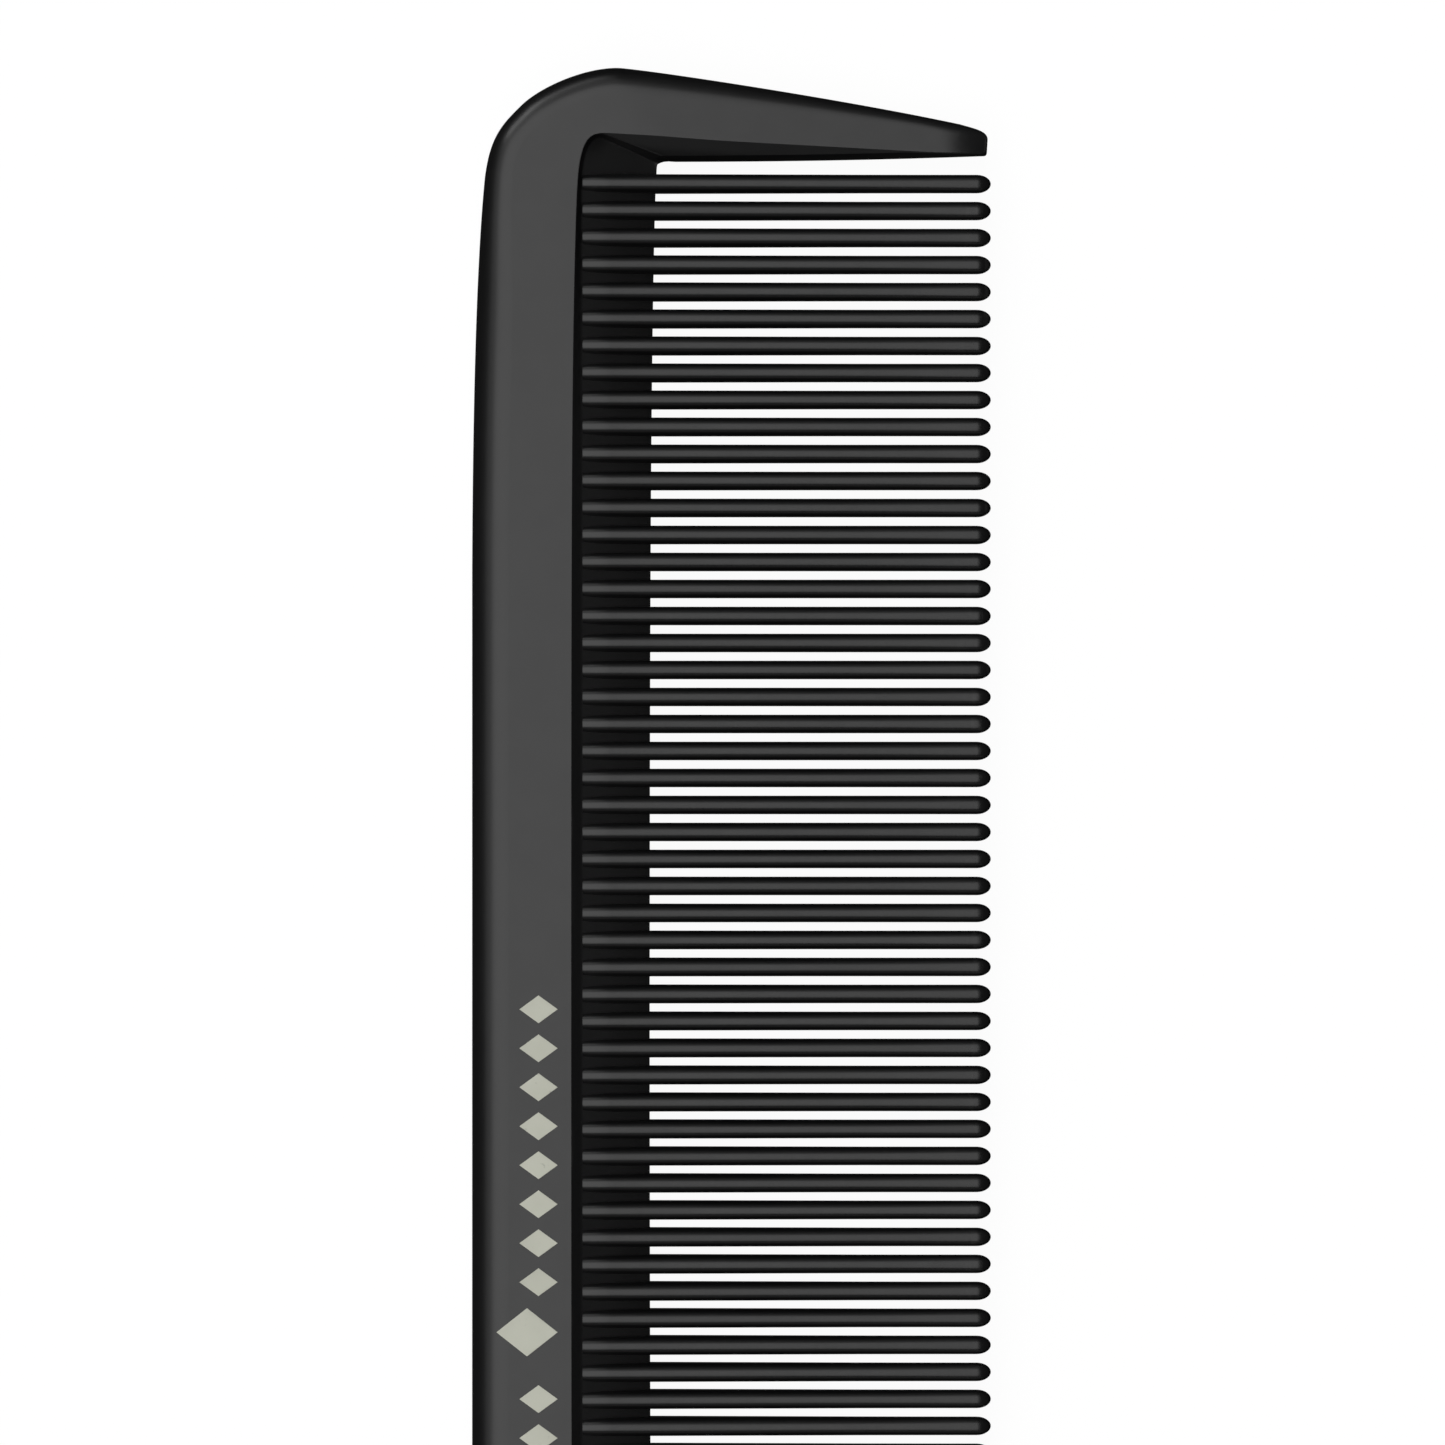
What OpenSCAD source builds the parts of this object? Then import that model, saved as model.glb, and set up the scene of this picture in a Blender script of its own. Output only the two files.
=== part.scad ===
// Rat tail comb: fine-toothed moulded head with a steel pin tail.
// Units are millimetres. The comb lies flat with its face up.
// +Y runs towards the end guard, the tail points to -Y, and the teeth point to +X.

/* [Head] */
// Overall width, from the back edge to the tooth tips
comb_w = 28; // [24:0.5:34]
// Thickness of the spine
spine_t = 4; // [3:0.1:5]
// Width of the flat spine from the back edge to the edge of the toothed pocket
spine_w = 5.36; // [4:0.02:8]
// Radius of the rounded corner between the spine and the end guard
corner_r = 7.3; // [5:0.1:10]
// How far the back edge draws in beside the end guard
corner_inset = 0.52; // [0:0.02:1]
// Width of the steep wall between the face and the root web
wall_w = 0.54; // [0.2:0.02:1]
// Height of the root web above the middle plane where the wall meets it
web_h = 1.4; // [0.8:0.05:1.8]
// Thickness left at the thin edges of the root web and of the guards
edge_t = 0.3; // [0.2:0.05:0.6]

/* [Teeth] */
// Number of fine teeth
tooth_count = 63; // [40:1:80]
// Distance from one fine tooth to the next
tooth_pitch = 1.459; // [1.2:0.001:2]
// Width of one fine tooth
tooth_w = 1; // [0.6:0.02:1.4]
// Distance from the back edge to the bottom of the slots
root_x = 9.55; // [8:0.05:12]
// Distance from the back edge to the start of the tooth ridges
ridge_x = 5.96; // [5:0.02:8]
// Height of the tooth ridge above the middle plane where it starts
ridge_h = 1.8; // [1.2:0.05:2]
// Height of a tooth above the middle plane at its tip
tip_h = 0.62; // [0.4:0.02:1]

/* [Guards] */
// Distance from the outer end of the head to the centre of the first fine tooth
first_tooth = 6.25; // [5.5:0.01:8]
// Distance from the outer end of the head to the inner edge of a guard
guard_in = 5.06; // [4:0.02:5.5]
// Width of the sloping inner side of a guard beside the spine
guard_slope_w = 1.47; // [0.8:0.01:2]
// Half the thickness of a guard at its tip
guard_tip_h = 0.65; // [0.5:0.05:1]
// How far the tip of a guard is set back from the outer end of the head
guard_drop = 3.25; // [2:0.05:4]

/* [Tail] */
// Length of the tang that holds the pin
tang_len = 14; // [10:0.5:20]
// How far the fillet under the heel guard runs down beside the tang
heel_run = 3.2; // [2:0.1:5]
// Diameter of the steel pin
pin_d = 2.4; // [2:0.1:2.8]
// Length of the pin outside the tang
pin_len = 105; // [80:1:120]
// Length of the parallel part of the pin outside the tang
pin_straight = 75; // [50:1:90]
// Diameter of the rounded pin tip
pin_tip_d = 1.5; // [1:0.1:2]
// Length of the pin moulded into the tang
anchor_len = 10; // [9:0.5:10.5]
// Depth of the anchor grooves
groove_d = 0.2; // [0.1:0.05:0.4]
// Depth of the neck on the pin where it enters the tang
neck_d = 0.2; // [0.15:0.01:0.4]

/* [Printed mark] */
// Distance from the outer end of the head to the start of the printed band
mark_start = 49.8; // [20:0.2:60]
// Height of the small lozenges, measured across the spine
mark_h = 2.06; // [1:0.02:3]
// Distance from one small lozenge to the next
mark_pitch = 2.1; // [1.5:0.05:3]
// Thickness of the ink
ink_t = 0.05; // [0.03:0.01:0.1]

/* [Hidden] */
$fn = 48;
half_t = spine_t / 2;
edge_h = edge_t / 2;
head_len = 2 * first_tooth + (tooth_count - 1) * tooth_pitch;
total_len = head_len + tang_len + pin_len;
split_x = spine_w + wall_w;
corner_x = corner_inset + corner_r;
heel_in = head_len - guard_in;
spine_len = head_len + heel_run;
guard_end = comb_w - 0.16;
tail_x = split_x / 2 - 0.25;
nose_y = spine_len + (tang_len - heel_run) * 0.55;
tang_end = head_len + tang_len;
pin_r = pin_d / 2;
big = 400;
plastic = [0.16, 0.16, 0.165];
steel = [0.72, 0.73, 0.75];
ink = [0.75, 0.75, 0.69];

// Puts a shape drawn from the outer back corner of the head into the shared frame.
module place() {
    translate([-comb_w / 2, total_len / 2, half_t]) children();
}

// A flat slab drawn as an outline, with the distance down the comb as its second value.
module slab(points, h) {
    translate([0, 0, -h]) linear_extrude(height = 2 * h) scale([1, -1]) polygon(points);
}

// A section drawn across the comb, carried along it from one distance to another.
module along(y0, y1) {
    translate([0, -y0, 0]) rotate([90, 0, 0]) linear_extrude(height = y1 - y0) children();
}

// A section drawn along the comb, carried across it from one distance to another.
module across(x0, x1) {
    translate([x0, 0, 0]) rotate([90, 0, 90]) linear_extrude(height = x1 - x0) children();
}

// Everything on the inner side of a straight rolled edge. The edge passes through a point and
// turns by an angle from the back edge's own direction.
module inside_edge(x, y, angle) {
    translate([x, -y, 0]) rotate([0, 0, -angle]) translate([0, 200, 0]) rotate([90, 0, 0])
        linear_extrude(height = 400) polygon(concat(
            [for (a = [100 : 16 : 260]) [half_t + half_t * cos(a), half_t * sin(a)]],
            [[6, -half_t - 0.5], [300, -half_t - 3], [300, half_t + 3], [6, half_t + 0.5]]));
}

// What lies above the sloping surfaces of the pocket on the face side.
module pocket_side() {
    x_wall = spine_w;
    slope = (half_t - edge_h) / guard_slope_w;
    lift = 1;
    intersection() {
        along(-5, head_len + 5) polygon([[x_wall - lift * wall_w / (half_t - web_h), half_t + lift],
            [split_x, web_h], [root_x, edge_h], [big, edge_h], [big, half_t + lift]]);
        across(0, comb_w + 5) polygon([[-guard_in + (half_t + lift - edge_h) / slope, half_t + lift],
            [-guard_in, edge_h], [-heel_in, edge_h],
            [-heel_in - (half_t + lift - edge_h) / slope, half_t + lift]]);
    }
}

// The pocket on both sides of the head.
module pocket() {
    pocket_side();
    mirror([0, 0, 1]) pocket_side();
}

// The spine's own outline with its rolled edges, before the pocket is cut. Each entry is a point
// on the outline and the direction of the edge there.
module spine_blank() {
    low = corner_inset / 2.4;
    straight = [[0, corner_r + 20, 0], [low * 0.4, corner_r + 11, atan(low / 12)],
        [low * 1.4, corner_r + 4, atan(low / 4.4)]];
    round = [for (a = [9 : 14 : 79])
        [corner_x - corner_r * cos(a), corner_r - corner_r * sin(a), a]];
    intersection() {
        slab([[0, 0], [split_x, 0], [split_x, spine_len], [0, spine_len]], half_t);
        intersection_for (e = concat(straight, round)) inside_edge(e[0], e[1], e[2]);
    }
}

// The long flat back bar of the comb.
module spine() {
    color(plastic) place() difference() {
        spine_blank();
        pocket();
    }
}

// Joins a list of closed rings, all with the same number of points, into one solid.
module loft(rings) {
    n = len(rings[0]);
    last = len(rings) - 1;
    walls = [for (k = [0 : last - 1]) for (i = [0 : n - 1]) for (t = [0, 1])
        t == 0 ? [k * n + i, (k + 1) * n + i, (k + 1) * n + (i + 1) % n]
               : [k * n + i, (k + 1) * n + (i + 1) % n, k * n + (i + 1) % n]];
    caps = [[for (i = [0 : n - 1]) i], [for (i = [n - 1 : -1 : 0]) last * n + i]];
    polyhedron(points = [for (r = rings) for (p = r) p], faces = concat(walls, caps));
}

// Distance of a guard's outer edge from the end of the head. A run above 0 adds the heel fillet.
function guard_edge(x, run) =
    x > guard_end - 0.1 ? guard_drop + 0.5 :
    x > guard_end - 0.4 ? guard_drop + 0.17 :
    x > corner_x ? (guard_drop - 0.1) * pow((x - corner_x) / (guard_end - 0.6 - corner_x), 1.2)
        - heel_curve(x, run) :
    run > 0 ? -heel_curve(x, run) : corner_r - sqrt(corner_r * corner_r - pow(corner_x - x, 2));

// The concave curve from the heel guard's outer edge down to the tang.
function heel_curve(x, run) = run * pow(max(0, (corner_x + 2.4 - x) / (corner_x + 2.4 - split_x)), 2);

// Half the thickness of a guard. It thins evenly to the tip, then rounds over.
function guard_h(x) =
    x > guard_end - 0.1 ? guard_tip_h * 0.55 :
    x > guard_end - 0.4 ? guard_tip_h * 0.9 :
    half_t + (guard_tip_h - half_t) * max(0, x - corner_x) / (comb_w - corner_x);

// Height of the root web above the middle plane.
function web(x) = max(edge_h, web_h + (edge_h - web_h) * (x - split_x) / (root_x - split_x));

// One section of a guard across its length, as points in space.
function guard_ring(x, run) =
    let (v = guard_edge(x, run), h = guard_h(x), w = web(x))
    let (inner = guard_in - 0.3 * (x - split_x) / (comb_w - split_x))
    let (face = guard_in - guard_slope_w - 0.04 + 0.051 * (x - split_x))
    let (crease = min(inner - 0.02, face + (h - w) / (h - edge_h) * (inner - face)))
    let (side = concat([for (a = [90 : -22.5 : -90]) [v + h - h * cos(a), h * sin(a)]],
        [[face, -h], [crease, -w], [inner, -w], [inner, w], [crease, w], [face, h]]))
    [for (p = side) [x, -p[0], p[1]]];

// One guard at the end of the tooth row, drawn for the outer end of the comb.
module guard(run) {
    stations = [split_x, (split_x + corner_x) / 2, corner_x, root_x, corner_x + 4, corner_x + 9,
        corner_x + 14, guard_end - 1.5, guard_end - 0.65, guard_end - 0.25, guard_end];
    loft([for (x = stations) guard_ring(x, run)]);
}

// The stout guard tooth at the free end of the comb.
module end_guard() {
    color(plastic) place() guard(0);
}

// The stout guard tooth at the tail end, with the fillet that runs into the tang.
module heel_guard() {
    color(plastic) place() translate([0, -head_len, 0]) mirror([0, 1, 0]) guard(heel_run);
}

// The thin bevelled web that joins the teeth at the spine, with the start of every tooth on it.
module root_web() {
    color(plastic) place() {
        along(guard_in, heel_in) polygon([[split_x, -web_h], [root_x, -edge_h],
            [root_x, edge_h], [split_x, web_h]]);
        for (i = [0 : tooth_count - 1])
            translate([0, -first_tooth - i * tooth_pitch, 0]) tooth_bar(ridge_x, root_x);
    }
}

// Half of a tooth's section: a rounded top with straight sides running down past the middle.
module tooth_roof() {
    r = tooth_w / 2;
    translate([0, -r]) circle(r = r);
    translate([-r, -2 * spine_t]) square([tooth_w, 2 * spine_t - r]);
}

// A length of one tooth between two distances from the back edge, with no tip.
module tooth_bar(x0, x1) {
    tilt = atan2(ridge_h - tip_h, comb_w - ridge_x);
    intersection() {
        for_side(1, tilt);
        for_side(-1, tilt);
        translate([x0, -tooth_w, -spine_t]) cube([x1 - x0, 2 * tooth_w, 2 * spine_t]);
    }
}

// The sloping roof of a tooth on the face side (1) or the back side (-1).
module for_side(side, tilt) {
    scale([1, 1, side]) translate([ridge_x, 0, ridge_h]) rotate([0, tilt, 0])
        across(-2, comb_w) tooth_roof();
}

// One fine tooth from the bottom of the slots to its rounded tip.
module tooth() {
    r = tooth_w / 2;
    intersection() {
        tooth_bar(root_x, comb_w);
        union() {
            translate([root_x - 1, -tooth_w, -spine_t])
                cube([comb_w - r - root_x + 1, 2 * tooth_w, 2 * spine_t]);
            translate([comb_w - r, 0, -spine_t]) cylinder(h = 2 * spine_t, r = r);
        }
    }
}

// The row of fine teeth, each one its own solid.
module fine_teeth() {
    color(plastic) place() for (i = [0 : tooth_count - 1])
        translate([0, -first_tooth - i * tooth_pitch, 0]) tooth();
}

// The pin turned about its own axis, with its tip furthest along the axis.
module pin_body() {
    groove = 0.8;
    rotate_extrude() polygon([[0, -anchor_len], [pin_r - 0.3, -anchor_len], [pin_r, -anchor_len + 0.3],
        [pin_r, -8.7], [pin_r - groove_d, -8.5], [pin_r - groove_d, -8.5 + groove],
        [pin_r, -8.3 + groove], [pin_r, -6.2], [pin_r - groove_d, -6],
        [pin_r - groove_d, -6 + groove], [pin_r, -5.8 + groove], [pin_r, -3.7],
        [pin_r - groove_d, -3.5], [pin_r - groove_d, -3.5 + groove], [pin_r - neck_d, -3.3 + groove],
        [pin_r - neck_d, 0.3], [pin_r, 0.3], [pin_r, pin_straight], [pin_tip_d / 2, pin_len - pin_tip_d / 2],
        [0.87 * pin_tip_d / 2, pin_len - 0.5 * pin_tip_d / 2],
        [0.5 * pin_tip_d / 2, pin_len - 0.13 * pin_tip_d / 2], [0, pin_len]]);
}

// Stands a turned shape at the end of the tang, pointing down the comb.
module on_tail() {
    translate([tail_x, -tang_end, 0]) rotate([90, 0, 0]) children();
}

// One section of the tang: round on the back edge, with its other corners rounding off as t grows.
function tang_ring(t) =
    let (y = spine_len + t * (nose_y - spine_len))
    let (s = t * t * (3 - 2 * t))
    let (x0 = s * (tail_x - half_t), x1 = split_x + s * (tail_x + half_t - split_x))
    let (r = 0.1 + (half_t - 0.1) * sqrt(t))
    [for (p = concat(
        [for (a = [90 : 15 : 270]) [x0 + half_t + half_t * cos(a), half_t * sin(a)]],
        [for (a = [-90 : 15 : 0]) [x1 - r + r * cos(a), -half_t + r + r * sin(a)]],
        [for (a = [0 : 15 : 90]) [x1 - r + r * cos(a), half_t - r + 0.002 + (r - 0.002) * sin(a)]]))
        [p[0], -y, p[1]]];

// One round section of the tang's nose.
function nose_ring(y, r) = [for (p = tang_ring(1))
    [tail_x + (p[0] - tail_x) * r / half_t, -y, p[2] * r / half_t]];

// The moulded tang that narrows from the spine to a round nose and holds the pin.
module tail_tang() {
    color(plastic) place() difference() {
        loft(concat([for (t = [0, 0.08, 0.25, 0.5, 0.75, 1]) tang_ring(t)],
            [nose_ring(tang_end - 0.5, half_t), nose_ring(tang_end - 0.2, half_t - 0.08),
            nose_ring(tang_end, half_t - 0.25)]));
        on_tail() pin_body();
    }
}

// The steel pin that forms the tail.
module tail_pin() {
    color(steel) place() on_tail() pin_body();
}

// One flat lozenge of ink on the face of the spine.
module lozenge(x, y, w, l) {
    translate([x, -y, half_t]) linear_extrude(height = ink_t)
        polygon([[-w / 2, 0], [0, -l / 2], [w / 2, 0], [0, l / 2]]);
}

// A plain printed band of lozenges.
module printed_mark() {
    x_row = spine_w - 0.72 - mark_h / 2;
    color(ink) place() {
        for (i = [0 : 7]) {
            lozenge(x_row, mark_start + 1 + i * mark_pitch, mark_h, 1.5);
            lozenge(x_row, mark_start + 22 + i * mark_pitch, mark_h, 1.5);
        }
        lozenge(x_row - 0.62, mark_start + 18.4, mark_h * 1.6, 2.6);
    }
}

spine();
root_web();
fine_teeth();
end_guard();
heel_guard();
tail_tang();
tail_pin();
printed_mark();
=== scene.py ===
import math

import bmesh
import bpy
import numpy as np
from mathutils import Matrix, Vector
from mathutils.geometry import delaunay_2d_cdt


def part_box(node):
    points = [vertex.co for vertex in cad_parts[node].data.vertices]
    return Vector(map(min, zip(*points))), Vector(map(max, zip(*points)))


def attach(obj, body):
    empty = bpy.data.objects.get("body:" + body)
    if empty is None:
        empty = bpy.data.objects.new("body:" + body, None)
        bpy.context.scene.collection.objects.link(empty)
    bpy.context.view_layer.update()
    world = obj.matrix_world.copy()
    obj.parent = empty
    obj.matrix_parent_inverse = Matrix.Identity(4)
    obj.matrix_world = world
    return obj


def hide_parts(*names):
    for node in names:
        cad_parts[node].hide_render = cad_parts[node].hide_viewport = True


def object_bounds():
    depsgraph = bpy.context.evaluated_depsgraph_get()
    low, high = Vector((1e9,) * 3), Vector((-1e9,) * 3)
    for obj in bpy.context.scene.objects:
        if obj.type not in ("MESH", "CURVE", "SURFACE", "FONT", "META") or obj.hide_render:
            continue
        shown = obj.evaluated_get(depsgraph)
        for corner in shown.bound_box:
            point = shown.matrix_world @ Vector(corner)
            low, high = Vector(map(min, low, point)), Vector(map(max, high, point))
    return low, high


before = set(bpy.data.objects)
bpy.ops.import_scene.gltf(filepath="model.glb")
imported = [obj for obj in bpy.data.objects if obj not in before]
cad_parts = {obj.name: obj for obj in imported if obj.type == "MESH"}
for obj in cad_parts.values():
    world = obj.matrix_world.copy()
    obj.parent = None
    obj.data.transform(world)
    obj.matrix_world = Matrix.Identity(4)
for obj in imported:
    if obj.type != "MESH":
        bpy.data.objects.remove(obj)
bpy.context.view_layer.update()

MM = 0.001
spine_lo, spine_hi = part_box("spine")
teeth_lo, teeth_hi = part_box("fine_teeth")
tang_lo, tang_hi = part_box("tail_tang")
pin_lo, pin_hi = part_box("tail_pin")
mark_lo, mark_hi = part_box("printed_mark")
guard_lo, guard_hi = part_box("end_guard")

# The comb's own plan: u runs from the back edge to the tooth tips, v runs down the comb from the
# outer end of the head, and z is the height above the middle plane. All three are in millimetres.
U0 = spine_lo.x
V0 = guard_hi.y
Z0 = (spine_lo.z + spine_hi.z) / 2


def at(u, v, z=0.0):
    """A point of the plan, in the frame's metres."""
    return Vector((U0 + u * MM, V0 - v * MM, Z0 + z * MM))


HALF_T = (spine_hi.z - spine_lo.z) / 2 / MM
TIP_U = (teeth_hi.x - U0) / MM
TOOTH_W = 1.0
TOOTH_COUNT = 63
FIRST_TOOTH = (V0 - teeth_hi.y) / MM + TOOTH_W / 2
LAST_TOOTH = (V0 - teeth_lo.y) / MM - TOOTH_W / 2
PITCH = (LAST_TOOTH - FIRST_TOOTH) / (TOOTH_COUNT - 1)
HEAD_LEN = FIRST_TOOTH + LAST_TOOTH
TANG_END = (V0 - tang_lo.y) / MM
TAIL_U = ((pin_lo.x + pin_hi.x) / 2 - U0) / MM
PIN_R = (pin_hi.x - pin_lo.x) / 2 / MM
PIN_END = (V0 - pin_lo.y) / MM
PIN_START = (V0 - pin_hi.y) / MM

# ---------------------------------------------------------------- small helpers


def bezier(p0, p1, p2, p3, n, last=True):
    """n points along a cubic curve, with or without its end point."""
    out = []
    for t in np.linspace(0, 1, n, endpoint=last):
        s = 1 - t
        out.append(tuple(s ** 3 * a + 3 * s * s * t * b + 3 * s * t * t * c + t ** 3 * d
                         for a, b, c, d in zip(p0, p1, p2, p3)))
    return out


def smooth(t):
    t = min(max(t, 0.0), 1.0)
    return t * t * (3 - 2 * t)


def new_mesh(name, bm, material, replaced, smooth_faces=True):
    """Turns a bmesh into a piece that rides on the comb's body."""
    mesh = bpy.data.meshes.new(name)
    bm.to_mesh(mesh)
    bm.free()
    if smooth_faces:
        mesh.shade_smooth()
    obj = bpy.data.objects.new(name, mesh)
    bpy.context.scene.collection.objects.link(obj)
    mesh.materials.append(material)
    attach(obj, "root")
    if replaced:
        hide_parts(*replaced)
    return obj


# ---------------------------------------------------------------- materials


def node_material(name):
    mat = bpy.data.materials.new(name)
    mat.use_nodes = True
    nt = mat.node_tree
    nt.nodes.clear()
    out = nt.nodes.new("ShaderNodeOutputMaterial")
    bsdf = nt.nodes.new("ShaderNodeBsdfPrincipled")
    nt.links.new(bsdf.outputs[0], out.inputs[0])
    return mat, nt, bsdf


def noise_node(nt, coord, scale, detail=2.0, rough=0.5, stretch=None):
    node = nt.nodes.new("ShaderNodeTexNoise")
    node.inputs["Scale"].default_value = scale
    node.inputs["Detail"].default_value = detail
    node.inputs["Roughness"].default_value = rough
    if stretch:
        mapping = nt.nodes.new("ShaderNodeMapping")
        mapping.inputs["Scale"].default_value = stretch
        nt.links.new(coord, mapping.inputs["Vector"])
        coord = mapping.outputs[0]
    nt.links.new(coord, node.inputs["Vector"])
    return node.outputs["Fac"]


def ranged(nt, value, lo, hi, to_lo, to_hi):
    node = nt.nodes.new("ShaderNodeMapRange")
    node.inputs["From Min"].default_value = lo
    node.inputs["From Max"].default_value = hi
    node.inputs["To Min"].default_value = to_lo
    node.inputs["To Max"].default_value = to_hi
    nt.links.new(value, node.inputs["Value"])
    return node.outputs[0]


def maths(nt, kind, a, b):
    node = nt.nodes.new("ShaderNodeMath")
    node.operation = kind
    for socket, value in zip(node.inputs, (a, b)):
        if isinstance(value, (int, float)):
            socket.default_value = value
        else:
            nt.links.new(value, socket)
    return node.outputs[0]


def mixed(nt, factor, a, b):
    node = nt.nodes.new("ShaderNodeMix")
    node.data_type = "RGBA"
    nt.links.new(factor, node.inputs["Factor"])
    for socket, value in ((node.inputs["A"], a), (node.inputs["B"], b)):
        if isinstance(value, tuple):
            socket.default_value = (*value, 1.0)
        else:
            nt.links.new(value, socket)
    return node.outputs["Result"]


def bumped(nt, height, strength, distance, before=None):
    node = nt.nodes.new("ShaderNodeBump")
    node.inputs["Strength"].default_value = strength
    node.inputs["Distance"].default_value = distance
    nt.links.new(height, node.inputs["Height"])
    if before is not None:
        nt.links.new(before, node.inputs["Normal"])
    return node.outputs[0]


def plastic_material():
    """Black satin moulded plastic: fine spark-eroded grain, soft flow marks, edges burnished by use, and a
    lighter colour on marked edges that is partly edge wear and partly a painted highlight.
    """
    mat, nt, bsdf = node_material("satin_black_plastic")
    coord = nt.nodes.new("ShaderNodeTexCoord").outputs["Object"]
    wear_and_edge_highlight = nt.nodes.new("ShaderNodeAttribute")
    wear_and_edge_highlight.attribute_name = "wear_and_edge_highlight"
    wear_and_highlight_mask = wear_and_edge_highlight.outputs["Fac"]
    flow = noise_node(nt, coord, 180.0, 3.0, 0.5, (1.0, 0.22, 1.0))
    patch = noise_node(nt, coord, 650.0, 3.0, 0.55)
    grain = noise_node(nt, coord, 9000.0, 2.0, 0.6)
    scuff = noise_node(nt, coord, 1500.0, 4.0, 0.65, (1.0, 0.12, 1.0))
    # marked edges and tips get lighter scuffs: partly edge wear, partly a painted highlight along the crisp
    # edges
    scuffs_and_edge_highlight = maths(nt, "MULTIPLY", ranged(nt, scuff, 0.56, 0.72, 0.0, 1.0), wear_and_highlight_mask)
    dark, light = (0.0045, 0.0045, 0.0047), (0.0060, 0.0060, 0.0062)
    tone = mixed(nt, ranged(nt, flow, 0.3, 0.7, 0.0, 1.0), dark, light)
    tone = mixed(nt, scuffs_and_edge_highlight, tone, (0.024, 0.024, 0.024))
    nt.links.new(tone, bsdf.inputs["Base Color"])
    rough = ranged(nt, patch, 0.3, 0.7, 0.295, 0.33)
    rough = maths(nt, "ADD", rough, ranged(nt, flow, 0.3, 0.7, -0.012, 0.012))
    rough = maths(nt, "SUBTRACT", rough, maths(nt, "MULTIPLY", wear_and_highlight_mask, 0.05))
    nt.links.new(rough, bsdf.inputs["Roughness"])
    bump = bumped(nt, grain, 0.10, 0.000004)
    bump = bumped(nt, patch, 0.05, 0.00001, bump)
    nt.links.new(bump, bsdf.inputs["Normal"])
    bsdf.inputs["IOR"].default_value = 1.5
    return mat


def steel_material():
    """Centreless-ground stainless steel: fine rings round the pin and a few drawn scratches."""
    mat, nt, bsdf = node_material("ground_steel")
    coord = nt.nodes.new("ShaderNodeTexCoord").outputs["Object"]
    rings = noise_node(nt, coord, 3200.0, 3.0, 0.6, (0.03, 1.0, 0.03))
    drawn = noise_node(nt, coord, 2600.0, 2.0, 0.5, (1.0, 0.02, 1.0))
    cloud = noise_node(nt, coord, 240.0, 3.0, 0.5)
    tone = mixed(nt, ranged(nt, cloud, 0.3, 0.7, 0.0, 1.0), (0.54, 0.545, 0.55), (0.63, 0.632, 0.635))
    tone = mixed(nt, ranged(nt, rings, 0.25, 0.75, 0.0, 0.5), tone, (0.48, 0.485, 0.49))
    nt.links.new(tone, bsdf.inputs["Base Color"])
    rough = ranged(nt, rings, 0.25, 0.75, 0.19, 0.31)
    rough = maths(nt, "ADD", rough, ranged(nt, cloud, 0.3, 0.7, -0.02, 0.03))
    nt.links.new(rough, bsdf.inputs["Roughness"])
    bump = bumped(nt, rings, 0.22, 0.000006)
    bump = bumped(nt, drawn, 0.10, 0.000004, bump)
    nt.links.new(bump, bsdf.inputs["Normal"])
    bsdf.inputs["Metallic"].default_value = 1.0
    return mat


def ink_material():
    """Warm grey pad-printing ink: slightly uneven cover with tiny pinholes."""
    mat, nt, bsdf = node_material("warm_grey_ink")
    coord = nt.nodes.new("ShaderNodeTexCoord").outputs["Object"]
    cover = noise_node(nt, coord, 2600.0, 3.0, 0.6)
    cloud = noise_node(nt, coord, 420.0, 2.0, 0.5)
    tone = mixed(nt, ranged(nt, cloud, 0.3, 0.7, 0.0, 1.0), (0.475, 0.482, 0.405), (0.515, 0.522, 0.442))
    tone = mixed(nt, ranged(nt, cover, 0.70, 0.80, 0.0, 0.5), tone, (0.16, 0.16, 0.14))
    nt.links.new(tone, bsdf.inputs["Base Color"])
    nt.links.new(ranged(nt, cover, 0.3, 0.7, 0.5, 0.64), bsdf.inputs["Roughness"])
    nt.links.new(bumped(nt, cover, 0.15, 0.000006), bsdf.inputs["Normal"])
    return mat


PLASTIC = plastic_material()
STEEL = steel_material()
INK = ink_material()

# ---------------------------------------------------------------- the moulded head

GUARD_U = 7.82          # where the guard's outer edge is furthest out
GUARD_TIP_U = (guard_hi.x - U0) / MM
RIDGE_U = 5.96          # where the tooth ridges start
FOOT_U = 5.9            # foot of the steep wall beside the face
FOOT_H = 1.55           # its height above the middle plane
ROOT_H = 0.15           # half the thickness of the web at the slots
WEB_RUN = 4.05          # how far the web runs from the foot of the wall to the slots
GUARD_IN = 5.05         # how far the guard's inner side is from the head's outer end
FACET_SLOPE = 0.86      # fall of the guard's facet towards the slot
BAND = 0.28             # width of the steep band below the facet
PART_H = 0.035          # half the width of the parting line's ridge
PART_OUT = 0.012        # how far that ridge stands out
FACET_START_U = 11.1    # where the guard's inner side meets the fan round the pocket's corner
ROOT_V = 5.8            # where the root of the slots starts
EDGE_V = 4.9            # where the long edge of the face beside the teeth starts
NOSE_V = TANG_END - 4.4  # start of the tang's round nose
ROWS = 17               # rows of points from the face edge to the silhouette
FACE_GUARD = 0.05       # a row this far inside the face edge keeps the face's shading flat
TIP_PROUD = 0.02        # how far the tooth tips stand past the CAD solids
CROWN_H = 0.92          # height of a tooth's rounded crown
CROWN_N = 2.3           # how full the crown is: 2 would be an ellipse


def thickness(u):
    """Height of the face above the middle plane. It thins evenly towards the teeth's tips."""
    draft, ease = 0.0669, 1.2
    x = (u - GUARD_U) / ease
    height = HALF_T - draft * ease * (math.log1p(math.exp(-abs(x))) + max(x, 0.0))
    over = max(u - (GUARD_TIP_U - 2.32), 0.0)
    return height - 0.085 * over * over


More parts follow.
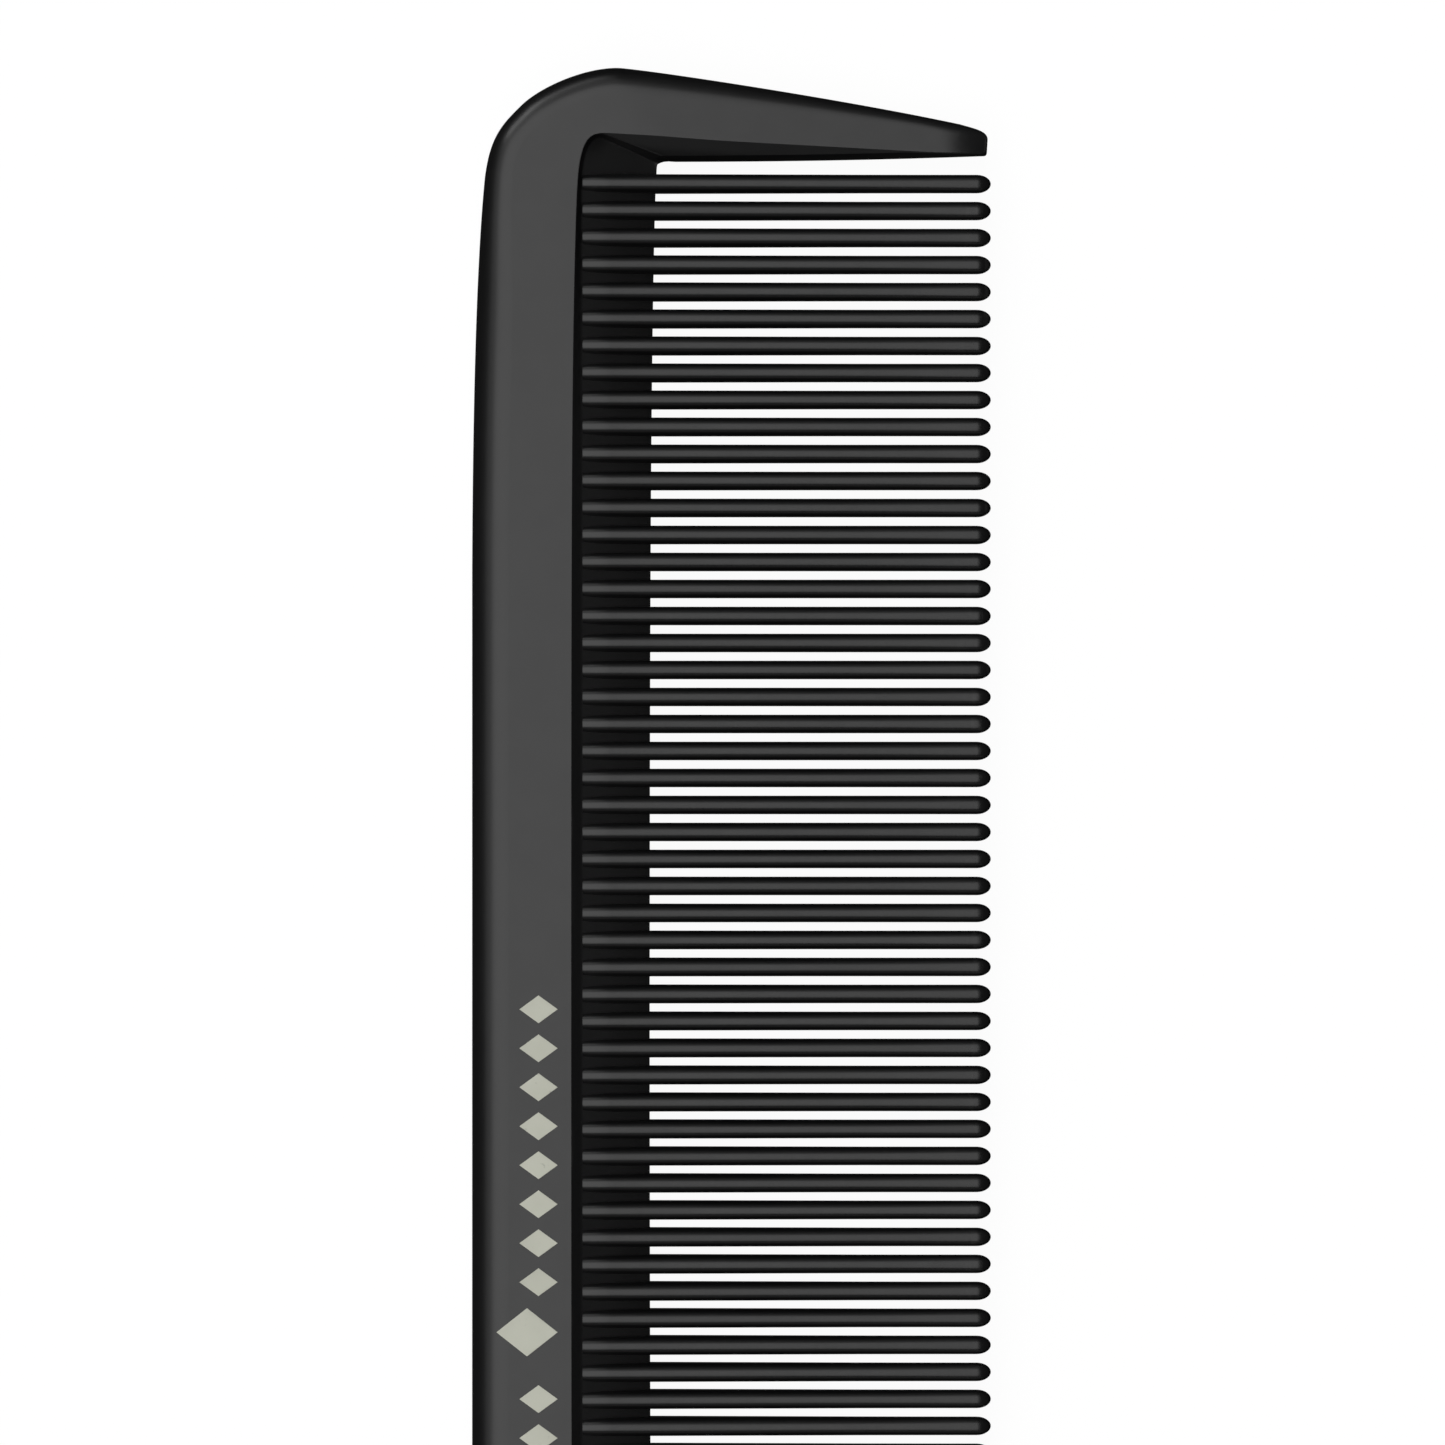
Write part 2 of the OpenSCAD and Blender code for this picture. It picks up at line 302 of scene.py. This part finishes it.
def mould_stations():
    """The head's silhouette, point by point: (outline point, face edge point or None, weights).

    The weights mix three kinds of edge: the outer roll, the guard's facet, and the wall and web.
    """
    roll = (1.0, 0.0, 0.0)
    first = []
    # the back edge, from the tang up to the free end
    left, right = TAIL_U - HALF_T, TAIL_U + HALF_T
    shoulder = NOSE_V - 9.5
    for p in bezier((left, NOSE_V), (left, NOSE_V - 3.5), (0, NOSE_V - 5.0), (0, shoulder), 14, False):
        first.append((p, None, roll))
    for v in np.linspace(shoulder, 27, 34, endpoint=False):
        first.append(((0.0, v), None, roll))
    for p in bezier((0, 27), (0.05, 15), (0.38, 9.0), (0.68, 5.97), 16, False):
        first.append((p, None, roll))
    for p in bezier((0.68, 5.97), (0.95, 3.74), (1.6, 3.06), (2.6, 2.08), 24, False):
        first.append((p, None, roll))
    for p in bezier((2.6, 2.08), (3.53, 1.11), (5.94, 0.0), (7.82, 0.0), 30, False):
        first.append((p, None, roll))
    outer = bezier((7.82, 0.0), (8.83, 0.0), (19.7, 1.61), (26.36, 3.03), 40, False)
    for p in outer:
        if p[0] < 11.5:
            first.append((p, None, roll))
    half = [(p, None, roll) for p in outer if p[0] >= 11.5]
    # the guard's tip
    end = GUARD_TIP_U
    for p in bezier((26.36, 3.03), (end - 0.61, 3.28), (end + 0.01, 3.40), (end, 3.86), 14, False):
        half.append((p, None, roll))
    for v in (3.86, 4.0, 4.15, 4.3, 4.42, 4.5):
        half.append(((end - 0.06 * (v - 3.86), v), None, roll))
    half.append(((end - 0.045, 4.60), (end - 0.24, 4.50), (0.6, 0.4, 0.0)))
    half.append(((end - 0.06, 4.66), (end - 0.28, 4.55), (0.3, 0.7, 0.0)))
    half.append(((end - 0.09, 4.71), (end - 0.34, 4.58), (0.0, 1.0, 0.0)))
    # the guard's sloping inner side
    for t in np.linspace(0, 1, 34):
        um = end - 0.17 - t * (end - 0.17 - FACET_START_U)
        vm = GUARD_IN - 0.31 * (max(um - 9.9, 0) / 17.8) ** 2.2
        uf = end - 0.44 - t * (end - 0.44 - 7.4)
        belly = 0.085 * smooth((uf - 9) / 5) * (1 - smooth((uf - 24.5) / 2.9))
        vf = 3.565 + 0.0512 * (uf - 7.1) + belly
        half.append(((um, vm), (uf, vf), (0.0, 1.0, 0.0)))
    # the pocket's corner: the facet ends at a crease, and the root web starts on its other side
    fs = bezier((7.4, 3.58), (6.45, 3.5), (6.12, 3.86), (5.88, EDGE_V), 29)
    ms = bezier((FACET_START_U, GUARD_IN), (11.05, GUARD_IN), (11.0, GUARD_IN), (10.95, GUARD_IN), 6)
    for f, m in zip(fs[1:6], ms[1:]):
        half.append((m, f, (0.0, 1.0, 0.0)))
    # the crease itself: a steep strip that widens towards the slot
    upper, lower = half[-1], ((10.02, GUARD_IN + 0.12), fs[9])
    for t in (0.04, 0.3, 0.55, 0.78, 0.94):
        m = tuple(a + (b - a) * t for a, b in zip(upper[0], lower[0]))
        f = tuple(a + (b - a) * t for a, b in zip(upper[1], lower[1]))
        bow = 0.075 * math.sin(math.pi * t)
        half.append(((m[0] - bow, m[1] - bow), f, (0.0, 1 - t, t)))
    ms = bezier(lower[0], (9.965, GUARD_IN + 0.19), (9.96, 5.5), (9.95, ROOT_V), 20)
    for f, m in zip(fs[9:], ms):
        half.append((m, f, (0.0, 0.0, 1.0)))
    # the root of the slots
    middle = HEAD_LEN / 2
    for t in np.linspace(0, 1, 34)[1:]:
        t = t ** 1.5
        v = ROOT_V + t * (middle - ROOT_V)
        vf = EDGE_V + t * (middle - EDGE_V)
        root = 9.575 + 0.34 * math.exp(-(v - ROOT_V) / 12) + 0.035 * math.exp(-(v - ROOT_V) / 0.8)
        edge = 5.36 + 0.39 * math.exp(-(vf - EDGE_V) / 8) + 0.13 * math.exp(-(vf - EDGE_V) / 0.7)
        half.append(((root, v), (edge, vf), (0.0, 0.0, 1.0)))

    def turned(p):
        return None if p is None else (p[0], HEAD_LEN - p[1])

    other = [(turned(m), turned(f), w) for m, f, w in reversed(half[:-1])]
    last = []
    start = other[-1][0]
    for p in bezier(start, (8.3, HEAD_LEN + 0.05), (5.55, HEAD_LEN + 0.7), (5.42, HEAD_LEN + 4.6), 26)[1:]:
        last.append((p, None, roll))
    neck = ((5.42, HEAD_LEN + 4.6), (5.38, HEAD_LEN + 6.4), (right, NOSE_V - 2.2), (right, NOSE_V))
    for p in bezier(*neck, 14)[1:]:
        last.append((p, None, roll))
    return first + half + other + last


def roll_rows(span, face_h):
    """A rounded outer edge: a quarter round, then an upright land down to the parting line."""
    drop = min(span, face_h - 2.4 * PART_H)
    rows = []
    for k in range(ROWS - 3):
        th = math.pi / 2 * k / (ROWS - 4)
        rows.append((math.sin(th), face_h - drop * (1 - math.cos(th))))
    low = face_h - drop
    rows += [(1.0, low * 0.55 + PART_H * 0.9), (1.0, PART_H * 1.7), (1.0, PART_H)]
    return rows


def spaced(values, top):
    """Makes a list rise by at least a small step each time, ending at top."""
    step = top / 400
    out = [0.0]
    for v in values:
        out.append(max(v, out[-1] + step))
    for i in range(len(out) - 1, 0, -1):
        limit = top - (len(out) - 1 - i) * step
        out[i] = min(out[i], limit)
    return out


def inner_rows(f, m, face_h, facet):
    """A straight run from the face edge to the silhouette: the guard's facet, or the wall and the web."""
    span = math.hypot(m[0] - f[0], m[1] - f[1])
    small = min(1.0, span / 1.2)
    fall = abs(m[1] - f[1])
    band = BAND * small
    if facet:
        band = min(BAND * span / max(fall, 1e-6), 0.72 * span)
    foot = min(max(FOOT_U - f[0], 0.16), 0.56) * small
    bevel = 0.05 * small
    beyond = foot + 0.09
    places = [0.012 * small, 0.03 * small, bevel, 0.09 * small, 0.5 * foot, 0.85 * foot, foot + 0.03, beyond]
    flat = span - band - 0.03 * small
    places += [beyond + (flat - beyond) * t for t in (0.25, 0.5, 0.75, 1.0)]
    places += [span - band, span - 0.9 * band, span - 0.12 * band, span]
    rows = []
    slope = FACET_SLOPE * fall / span
    low = face_h - slope * (span - band - bevel / 2)
    for d in spaced(places, span):
        if facet:
            z = face_h - slope * (d * d / (2 * bevel) if d < bevel else d - bevel / 2)
            t = (d - (span - band)) / band
            if t > 0:
                z = 1.7 * PART_H + (low - 1.7 * PART_H) * (1 - t)
        else:
            steep = (face_h - FOOT_H) / max(foot - bevel / 2, 1e-6)
            wall = face_h - steep * (d * d / (2 * bevel) if d < bevel else d - bevel / 2)
            u = f[0] + (m[0] - f[0]) * d / span
            web = FOOT_H - (FOOT_H - ROOT_H) * (u - FOOT_U) / WEB_RUN
            z = max(wall, web, ROOT_H)
        rows.append((d / span, z))
    return rows


def profile(weights, f, m, face_h):
    """Rows from the face edge down to the silhouette, as (share of the way out, height)."""
    wr, wf, ww = weights
    span = math.hypot(m[0] - f[0], m[1] - f[1])
    kinds = [(wr, roll_rows(span, face_h)), (wf, inner_rows(f, m, face_h, True)),
             (ww, inner_rows(f, m, face_h, False))]
    return [(sum(w * rows[k][0] for w, rows in kinds), sum(w * rows[k][1] for w, rows in kinds))
            for k in range(ROWS)]


def build_head():
    """The spine, both guards, the root web and the tang: the one-piece body of the moulding."""
    stations = mould_stations()
    count = len(stations)
    pts = np.array([s[0] for s in stations], float)
    tangent = np.gradient(pts, axis=0)
    tangent[0], tangent[-1] = (0, -1), (0, 1)
    tangent /= np.linalg.norm(tangent, axis=1)[:, None]
    # walking up the back edge and round, the comb's inside lies to the right of the walk in (u, v)
    normal = np.stack([-tangent[:, 1], tangent[:, 0]], axis=1)
    along = np.concatenate([[0], np.cumsum(np.linalg.norm(np.diff(pts, axis=0), axis=1))])
    length = np.gradient(along)
    eased = np.empty_like(normal)
    for k in range(count):
        reach = 0.45 if pts[k][0] < GUARD_TIP_U - 2.5 else 0.06
        w = length * np.exp(-((along - along[k]) / (reach * 2)) ** 2)
        eased[k] = (normal * w[:, None]).sum(axis=0)
    eased /= np.linalg.norm(eased, axis=1)[:, None]
    bm = bmesh.new()
    wear_and_edge_highlight = bm.verts.layers.float.new("wear_and_edge_highlight")
    top, low, mid, faces_uv = [], [], [], []
    for k, (m, f, weights) in enumerate(stations):
        n = normal[k]
        base = thickness(m[0])
        if f is None:
            r = min(thickness(min(m[0], GUARD_TIP_U - 3.3)), HALF_T)
            r *= 1 - 0.26 * smooth((15 - m[1]) / 11) - 0.05 * smooth((m[1] - 60) / 30)
            if m[0] > GUARD_TIP_U - 1.7:
                r *= max((GUARD_TIP_U + 0.12 - m[0]) / 1.82, 0.0) ** 0.62
            e = eased[k]
            f = (m[0] + e[0] * r, m[1] + e[1] * r)
        face_h = thickness(f[0])
        rows = profile(weights, f, m, face_h)
        span = math.hypot(m[0] - f[0], m[1] - f[1])
        guard = FACE_GUARD * min(1.0, span) / span
        up, down = [], []
        for i, (a, z) in enumerate([(-guard, None)] + rows):
            p = (f[0] + (m[0] - f[0]) * a, f[1] + (m[1] - f[1]) * a)
            z = thickness(p[0]) if z is None else z
            # the crisp inner edge rows are marked for a lighter colour: partly edge wear, partly a painted
            # highlight
            sharp = (weights[1] + weights[2]) * (1.0 if 1 < i < 5 else 0.25 if i in (1, 5) else 0.0)
            for side, out in ((1, up), (-1, down)):
                vert = bm.verts.new(at(p[0], p[1], side * z))
                vert[wear_and_edge_highlight] = sharp
                out.append(vert)
        outward = weights[0] * PART_OUT
        centre = bm.verts.new(at(m[0] - n[0] * outward, m[1] - n[1] * outward, 0))
        top.append(up)
        low.append(down)
        mid.append(centre)
        faces_uv.append((f[0] - (m[0] - f[0]) * guard, f[1] - (m[1] - f[1]) * guard))
    for k in range(count - 1):
        for side in (top, low):
            for i in range(ROWS):
                bm.faces.new((side[k][i], side[k][i + 1], side[k + 1][i + 1], side[k + 1][i]))
            bm.faces.new((side[k][-1], mid[k], mid[k + 1], side[k + 1][-1]))
    # the two broad faces, filled between the edge points with a grid of inner points
    ring = [Vector(p) for p in faces_uv]
    edges = [(i, (i + 1) % len(ring)) for i in range(len(ring))]
    coords = np.array([(p.x, p.y) for p in ring])
    inner = []
    for u in np.arange(0.6, GUARD_TIP_U, 0.45):
        for v in np.arange(0.6, NOSE_V, 0.6):
            if u > 7.5 and 6.0 < v < HEAD_LEN - 6.0:
                continue
            if np.min(np.hypot(coords[:, 0] - u, coords[:, 1] - v)) > 0.28:
                inner.append(Vector((u, v)))
    points, _, tris, origin, _, _ = delaunay_2d_cdt(ring + inner, edges, [], 1, 1e-5)
    made_top, made_low = [], []
    for p, src in zip(points, origin):
        known = [i for i in src if i < len(ring)]
        if known:
            made_top.append(top[known[0]][0])
            made_low.append(low[known[0]][0])
        else:
            z = thickness(p.x)
            made_top.append(bm.verts.new(at(p.x, p.y, z)))
            made_low.append(bm.verts.new(at(p.x, p.y, -z)))
    for t in tris:
        for made in (made_top, made_low):
            corners = [made[i] for i in t]
            if len(set(corners)) == 3:
                bm.faces.new(corners)
    # the round nose of the tang, turned about the pin's axis
    ring0 = top[0] + [mid[0]] + low[0][::-1] + low[-1] + [mid[-1]] + top[-1][::-1]
    before = ring0
    shape = [(NOSE_V + 1.5, 1.0), (NOSE_V + 3.2, 0.995), (TANG_END - 0.55, 0.99), (TANG_END - 0.34, 0.98),
             (TANG_END - 0.18, 0.945), (TANG_END - 0.07, 0.885), (TANG_END - 0.015, 0.81), (TANG_END, 0.73),
             (TANG_END - 0.02, PIN_R * 1.035 / HALF_T), (TANG_END - 0.12, PIN_R * 1.005 / HALF_T),
             (TANG_END - 0.9, PIN_R * 0.99 / HALF_T)]
    for v, scale in shape:
        after = []
        for b in ring0:
            du = (b.co.x - U0) / MM - TAIL_U
            dz = (b.co.z - Z0) / MM
            vert = bm.verts.new(at(TAIL_U + du * scale, v, dz * scale))
            # the tang nose's rounded edge is marked for a lighter colour: partly edge wear, partly a painted
            # highlight
            vert[wear_and_edge_highlight] = 0.5 if 0.8 < scale < 0.99 else 0.0
            after.append(vert)
        size = len(ring0)
        for i in range(size):
            bm.faces.new((before[i], before[(i + 1) % size], after[(i + 1) % size], after[i]))
        before = after
    bm.faces.new(before)
    bmesh.ops.remove_doubles(bm, verts=bm.verts, dist=2e-7)
    bmesh.ops.recalc_face_normals(bm, faces=bm.faces)
    stands_for = ("spine", "end_guard", "heel_guard", "root_web", "tail_tang")
    new_mesh("Comb_Head", bm, PLASTIC, stands_for)


# ---------------------------------------------------------------- the fine teeth


def tooth_rings():
    """Sections of one tooth: (u, half width, half height)."""
    tip_len, tip_w, tip_h = 0.757, 0.5, 0.6
    straight_end = TIP_U + TIP_PROUD - tip_len
    rings = [(RIDGE_U, 0.478, 1.77), (RIDGE_U + 0.010, 0.492, 1.79), (RIDGE_U + 0.03, 0.5, 1.80)]
    for u in (7.5, 9.6, 12.0, 15.0, 18.0, 21.0, 24.0, 26.0, straight_end):
        s = (u - RIDGE_U) / (straight_end - RIDGE_U)
        rings.append((u, 0.5, 1.80 + (tip_h - 1.80) * s))
    for a in (12, 24, 36, 47, 57, 66, 74, 81, 86):
        c, s = math.cos(math.radians(a)), math.sin(math.radians(a))
        rings.append((straight_end + tip_len * s, tip_w * c, tip_h * c))
    return rings


def rounded(c):
    """A sine or cosine bent into a fuller curve than a circle's."""
    return math.copysign(abs(c) ** (2 / CROWN_N), c)


def build_teeth():
    """The row of fine teeth, each one a closed tapering bar with a rounded tip."""
    rings = tooth_rings()
    around = 32
    bm = bmesh.new()
    wear_and_edge_highlight = bm.verts.layers.float.new("wear_and_edge_highlight")
    for i in range(TOOTH_COUNT):
        v = FIRST_TOOTH + i * PITCH
        before = None
        for u, w, h in rings:
            ring = []
            for j in range(around):
                a = 2 * math.pi * j / around
                crown = min(h, CROWN_H)
                side = w * rounded(math.sin(a))
                z = crown * rounded(math.cos(a))
                if j < around / 4 or j > around * 3 / 4:
                    z += h - crown
                elif around / 4 < j < around * 3 / 4:
                    z -= h - crown
                vert = bm.verts.new(at(u, v + side, z))
                # the tooth tips are marked for a lighter colour: partly edge wear, partly a painted
                # highlight
                vert[wear_and_edge_highlight] = smooth((u - 26.4) / 1.4)
                ring.append(vert)
            if before is None:
                bm.faces.new(ring)
            else:
                for j in range(around):
                    bm.faces.new((before[j], before[(j + 1) % around], ring[(j + 1) % around], ring[j]))
            before = ring
        tip = bm.verts.new(at(TIP_U + TIP_PROUD, v, 0))
        tip[wear_and_edge_highlight] = 1.0
        for j in range(around):
            bm.faces.new((before[j], before[(j + 1) % around], tip))
    bmesh.ops.recalc_face_normals(bm, faces=bm.faces)
    obj = new_mesh("Fine_Teeth", bm, PLASTIC, ("fine_teeth",))
    obj.data.set_sharp_from_angle(angle=math.radians(50))


# ---------------------------------------------------------------- the steel pin


def build_pin():
    """The steel pin: a grooved anchor inside the tang, a parallel shank and a rounded taper."""
    groove = 0.2
    anchor = TANG_END - PIN_START
    tip_r = 0.75
    straight = 75.0
    out = [(-anchor, PIN_R - 0.3), (-anchor + 0.3, PIN_R)]
    for g in (-8.5, -6.0, -3.5):
        out += [(g - 0.2, PIN_R), (g, PIN_R - groove), (g + 0.8, PIN_R - groove), (g + 1.0, PIN_R)]
    out += [(s, PIN_R) for s in (-1.0, 0.0, 0.6, 15.0, 30.0, 45.0, 60.0, straight)]
    length = PIN_END - TANG_END
    for t in np.linspace(0, 1, 16)[1:]:
        r = PIN_R + (tip_r - PIN_R) * (0.35 * smooth(t) + 0.65 * t)
        out.append((straight + (length - tip_r - straight) * t, r))
    for a in (10, 20, 30, 40, 50, 60, 70, 80):
        c, s = math.cos(math.radians(a)), math.sin(math.radians(a))
        out.append((length - tip_r + tip_r * s, tip_r * c))
    around = 64
    bm = bmesh.new()
    rings = []
    for s, r in out:
        rings.append([bm.verts.new(at(TAIL_U + r * math.cos(a), TANG_END + s, r * math.sin(a)))
                      for a in np.linspace(0, 2 * math.pi, around, endpoint=False)])
    for a, b in zip(rings, rings[1:]):
        for j in range(around):
            bm.faces.new((a[j], a[(j + 1) % around], b[(j + 1) % around], b[j]))
    bm.faces.new(rings[0])
    tip = bm.verts.new(at(TAIL_U, PIN_END, 0))
    for j in range(around):
        bm.faces.new((rings[-1][j], rings[-1][(j + 1) % around], tip))
    bmesh.ops.recalc_face_normals(bm, faces=bm.faces)
    obj = new_mesh("Tail_Pin", bm, STEEL, ("tail_pin",))
    obj.data.set_sharp_from_angle(angle=math.radians(35))


# ---------------------------------------------------------------- the printed band


def build_mark():
    """A plain row of lozenges printed on the spine, as a thin film with soft edges."""
    bm = bmesh.new()
    film = 0.016

    def lozenge(u, v, w, l):
        sides = []
        corners = [(-w / 2, 0), (0, -l / 2), (w / 2, 0), (0, l / 2)]
        for (a, b), (c, d) in zip(corners, corners[1:] + corners[:1]):
            for t in np.linspace(0, 1, 6, endpoint=False):
                sides.append((a + (c - a) * t, b + (d - b) * t))
        low = [bm.verts.new(at(u + a, v + b, HALF_T - 0.01)) for a, b in sides]
        mid = [bm.verts.new(at(u + a, v + b, HALF_T + film * 0.55)) for a, b in sides]
        top = [bm.verts.new(at(u + a * 0.975, v + b * 0.975, HALF_T + film)) for a, b in sides]
        n = len(sides)
        for a, b in ((low, mid), (mid, top)):
            for i in range(n):
                bm.faces.new((a[i], a[(i + 1) % n], b[(i + 1) % n], b[i]))
        bm.faces.new(top)
        bm.faces.new(low)

    width, length, pitch = 2.06, 1.5, 2.1
    big = 1.6               # the middle lozenge's width over a small one's
    start = (V0 - mark_hi.y) / MM + length / 2
    row = (mark_hi.x - U0) / MM - width / 2
    for i in range(8):
        lozenge(row, start + i * pitch, width, length)
        lozenge(row, start + (i + 10) * pitch, width, length)
    lozenge(row - 0.62, start + 17.4, width * big, 2.6)
    bmesh.ops.recalc_face_normals(bm, faces=bm.faces)
    new_mesh("Printed_Mark", bm, INK, ("printed_mark",), smooth_faces=False)


build_head()
build_teeth()
build_pin()
build_mark()

# ---------------------------------------------------------------- stage, light and camera

scene = bpy.context.scene
scene.view_settings.view_transform = "Standard"
scene.view_settings.look = "None"
scene.view_settings.exposure = 0.0
scene.view_settings.gamma = 1.0

floor_mat, nt, bsdf = node_material("white_floor")
bsdf.inputs["Base Color"].default_value = (0.06, 0.06, 0.06, 1)
bsdf.inputs["Roughness"].default_value = 0.9
bsdf.inputs["Specular IOR Level"].default_value = 0.0
bsdf.inputs["Emission Color"].default_value = (1, 1, 1, 1)
bsdf.inputs["Emission Strength"].default_value = 0.95
bm = bmesh.new()
low_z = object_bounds()[0].z - 0.00001
for x, y in ((-15, -15), (15, -15), (15, 15), (-15, 15)):
    bm.verts.new((x, y, low_z))
bm.faces.new(bm.verts)
floor_mesh = bpy.data.meshes.new("Floor")
bm.to_mesh(floor_mesh)
bm.free()
floor = bpy.data.objects.new("Floor", floor_mesh)
floor_mesh.materials.append(floor_mat)
scene.collection.objects.link(floor)
floor.visible_glossy = False
floor.visible_diffuse = False

world = bpy.data.worlds.new("Studio")
scene.world = world
world.use_nodes = True
wt = world.node_tree
wt.nodes.clear()
w_out = wt.nodes.new("ShaderNodeOutputWorld")
w_mix = wt.nodes.new("ShaderNodeMixShader")
w_env = wt.nodes.new("ShaderNodeBackground")
w_cam = wt.nodes.new("ShaderNodeBackground")
w_path = wt.nodes.new("ShaderNodeLightPath")
w_env.inputs["Color"].default_value = (1, 1, 1, 1)
w_dir = wt.nodes.new("ShaderNodeTexCoord")
w_xyz = wt.nodes.new("ShaderNodeSeparateXYZ")
w_ramp = wt.nodes.new("ShaderNodeMapRange")
wt.links.new(w_dir.outputs["Generated"], w_xyz.inputs[0])
wt.links.new(w_xyz.outputs["Z"], w_ramp.inputs["Value"])
w_ramp.inputs["From Min"].default_value = -0.3
w_ramp.inputs["From Max"].default_value = 0.1
w_ramp.inputs["To Min"].default_value = 0.015
w_ramp.inputs["To Max"].default_value = 0.06
wt.links.new(w_ramp.outputs[0], w_env.inputs["Strength"])
w_cam.inputs["Color"].default_value = (1, 1, 1, 1)
w_cam.inputs["Strength"].default_value = 1.0
wt.links.new(w_path.outputs["Is Camera Ray"], w_mix.inputs[0])
wt.links.new(w_env.outputs[0], w_mix.inputs[1])
wt.links.new(w_cam.outputs[0], w_mix.inputs[2])
wt.links.new(w_mix.outputs[0], w_out.inputs[0])

FRAME_W = 78.1
LENS = 280.0
cam_data = bpy.data.cameras.new("Camera")
cam_data.lens = LENS
cam_data.sensor_width = 36.0
cam_data.clip_start = 0.01
cam_data.clip_end = 100.0
cam = bpy.data.objects.new("Camera", cam_data)
target = at(13.52, 35.35, 0)
cam.location = target + Vector((0, 0, FRAME_W * MM * LENS / 36.0))
scene.collection.objects.link(cam)
scene.camera = cam


def panel(name, size, place, radiance, aim=None):
    """A soft rectangular light of a given brightness, unseen by the camera."""
    data = bpy.data.lights.new(name, "AREA")
    data.shape = "RECTANGLE"
    data.size, data.size_y = size
    data.energy = radiance * math.pi * size[0] * size[1]
    obj = bpy.data.objects.new(name, data)
    obj.location = place
    if aim is not None:
        obj.rotation_euler = (aim - obj.location).to_track_quat("-Z", "Y").to_euler()
    obj.visible_camera = False
    scene.collection.objects.link(obj)


def overhead(name, x0, x1, y0, y1, height, radiance):
    panel(name, (x1 - x0, y1 - y0), target + Vector(((x0 + x1) / 2, (y0 + y1) / 2, height)), radiance)


overhead("Overhead_Main", -3.8, 0.76, -3.0, 2.7, 3.0, 1.22)
overhead("Overhead_Wide", -12.6, 0.80, -4.4, 7.5, 3.15, 0.56)
panel("Corner_Kicker", (0.9, 0.7), target + Vector((-1.5, 1.5, 0.42)), 2.9, target)
panel("Top_Kicker", (1.1, 0.6), target + Vector((-0.75, 1.95, 0.42)), 1.25, target)
panel("Front_Low", (2.4, 0.5), target + Vector((0.0, -2.2, 0.33)), 0.24, target)
